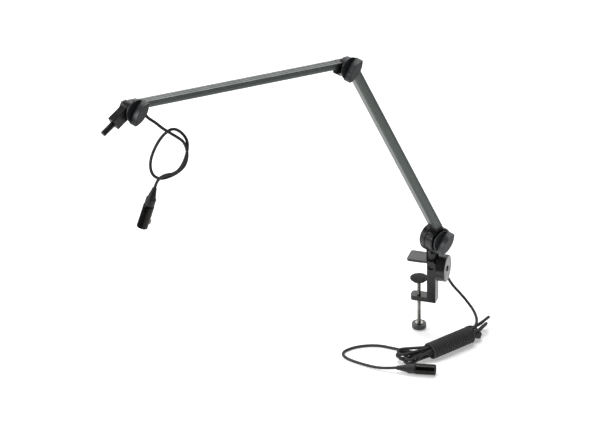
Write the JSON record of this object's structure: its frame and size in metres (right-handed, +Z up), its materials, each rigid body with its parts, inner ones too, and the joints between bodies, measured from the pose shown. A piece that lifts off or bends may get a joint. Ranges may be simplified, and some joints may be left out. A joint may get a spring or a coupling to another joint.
{
  "type": "desk clamp microphone boom arm",
  "caption": "Two-section friction arm on a swivelling table clamp, with a threaded microphone stud at its tip and a built-in microphone cord with plugs at both ends.",
  "frame": {"origin": "on the rubber face under the upper jaw, on the clamp screw's axis, at the level of the table top", "axes": "+Z up along the clamp screw, -X the way the clamp's throat opens, +Y away from the front view"},
  "size_m": [0.4582, 0.664, 0.6935],
  "materials": {
    "clamp_paint": "satin black",
    "cast_black": "satin black",
    "tube_alu": "dark anodised, satin",
    "steel": "nickel plated",
    "dark_steel": "blackened",
    "brass": "plain",
    "contact_metal": "silver plated",
    "plug_shell": "black chromed, satin",
    "housing_plastic": "satin",
    "knob_plastic": "satin",
    "pad_plastic": "matt",
    "nylon_black": "matt",
    "liner_rubber": "matt",
    "boot_rubber": "matt",
    "cord_jacket": "matt"
  },
  "bodies": {
    "clamp": {"clamp_bracket": "clamp_paint", "jaw_liner": "liner_rubber", "swivel_bush": "nylon_black", "cable_housing": "housing_plastic", "housing_cap": "housing_plastic", "housing_screw": "dark_steel", "base_gland": "nylon_black", "base_cord_lead": "cord_jacket", "base_cord_hank": "cord_jacket", "base_cord_tail": "cord_jacket", "male_xlr_boot": "boot_rubber", "male_xlr_collar": "boot_rubber", "male_xlr_shell": "plug_shell", "male_xlr_insert": "nylon_black", "male_xlr_pins": "contact_metal"},
    "pad": {"pressure_pad": "pad_plastic"},
    "screw": {"pad_collar": "steel", "clamp_spindle": "steel", "clamp_knob": "knob_plastic", "clamp_knob_nut": "steel"},
    "turret": {"turret": "cast_black", "stem_ring": "steel", "base_bolt": "dark_steel"},
    "base_knob": {"base_knob": "knob_plastic", "base_knob_insert": "brass"},
    "lower_arm": {"base_washer": "nylon_black", "lower_end": "cast_black", "lower_tube": "tube_alu", "lower_head": "cast_black", "elbow_bolt": "dark_steel", "lower_cable_run": "cord_jacket"},
    "elbow_knob": {"elbow_knob": "knob_plastic", "elbow_knob_insert": "brass"},
    "upper_arm": {"elbow_washer": "nylon_black", "upper_end": "cast_black", "upper_tube": "tube_alu", "upper_head": "cast_black", "tip_gland": "nylon_black", "tip_bolt": "dark_steel", "upper_cable_run": "cord_jacket", "tip_cord_lead": "cord_jacket", "tip_cord_ring": "cord_jacket", "tip_cord_tail": "cord_jacket", "female_xlr_boot": "boot_rubber", "female_xlr_collar": "boot_rubber", "female_xlr_shell": "plug_shell", "female_xlr_insert": "nylon_black", "female_xlr_contacts": "contact_metal"},
    "tip_knob": {"tip_knob": "knob_plastic", "tip_knob_insert": "brass"},
    "head": {"tip_washer": "nylon_black", "head_block": "cast_black", "mic_stud": "dark_steel"},
    "latch": {"female_xlr_latch": "steel"}
  },
  "joints": [
    {"name": "pad_travel", "type": "slide", "parent": "clamp", "child": "pad", "axis": [0, 0, 1], "range_m": [-0.02, 0.036]},
    {"name": "screw_turn", "type": "hinge", "parent": "pad", "child": "screw", "pos_m": [0, 0, -0.08], "axis": [0, 0, 1], "range_deg": [-5762, 10370]},
    {"name": "swivel", "type": "hinge", "parent": "clamp", "child": "turret", "pos_m": [0.0247, 0, 0.03], "axis": [0, 0, 1], "range_deg": [-160, 160]},
    {"name": "base_hinge", "type": "hinge", "parent": "turret", "child": "lower_arm", "pos_m": [0.03425, -0.00585, 0.047], "axis": [-0.8526, 0.5225, 0], "range_deg": [-35, 30]},
    {"name": "base_knob_turn", "type": "hinge", "parent": "turret", "child": "base_knob", "pos_m": [0.03425, -0.00585, 0.047], "axis": [0.8526, -0.5225, 0], "range_deg": [-90, 180]},
    {"name": "elbow_hinge", "type": "hinge", "parent": "lower_arm", "child": "upper_arm", "pos_m": [-0.07415, -0.18275, 0.45419], "axis": [-0.8526, 0.5225, 0], "range_deg": [-60, 45]},
    {"name": "elbow_knob_turn", "type": "hinge", "parent": "lower_arm", "child": "elbow_knob", "pos_m": [-0.07415, -0.18275, 0.45419], "axis": [0.8526, -0.5225, 0], "range_deg": [-90, 180]},
    {"name": "head_tilt", "type": "hinge", "parent": "upper_arm", "child": "head", "pos_m": [-0.30931, -0.56649, 0.53355], "axis": [-0.8526, 0.5225, 0], "range_deg": [-50, 60]},
    {"name": "tip_knob_turn", "type": "hinge", "parent": "upper_arm", "child": "tip_knob", "pos_m": [-0.30931, -0.56649, 0.53355], "axis": [0.8526, -0.5225, 0], "range_deg": [-90, 180]},
    {"name": "latch_press", "type": "hinge", "parent": "upper_arm", "child": "latch", "pos_m": [-0.29024, -0.54232, 0.33368], "axis": [-0.311, 0.9504, 0.0033], "range_deg": [0, 4], "stiffness_Nm_per_rad": 0.2}
  ],
  "couplings": [
    {"joint": "screw_turn", "follows": "pad_travel", "rad_per_m": 5026.5}
  ]
}
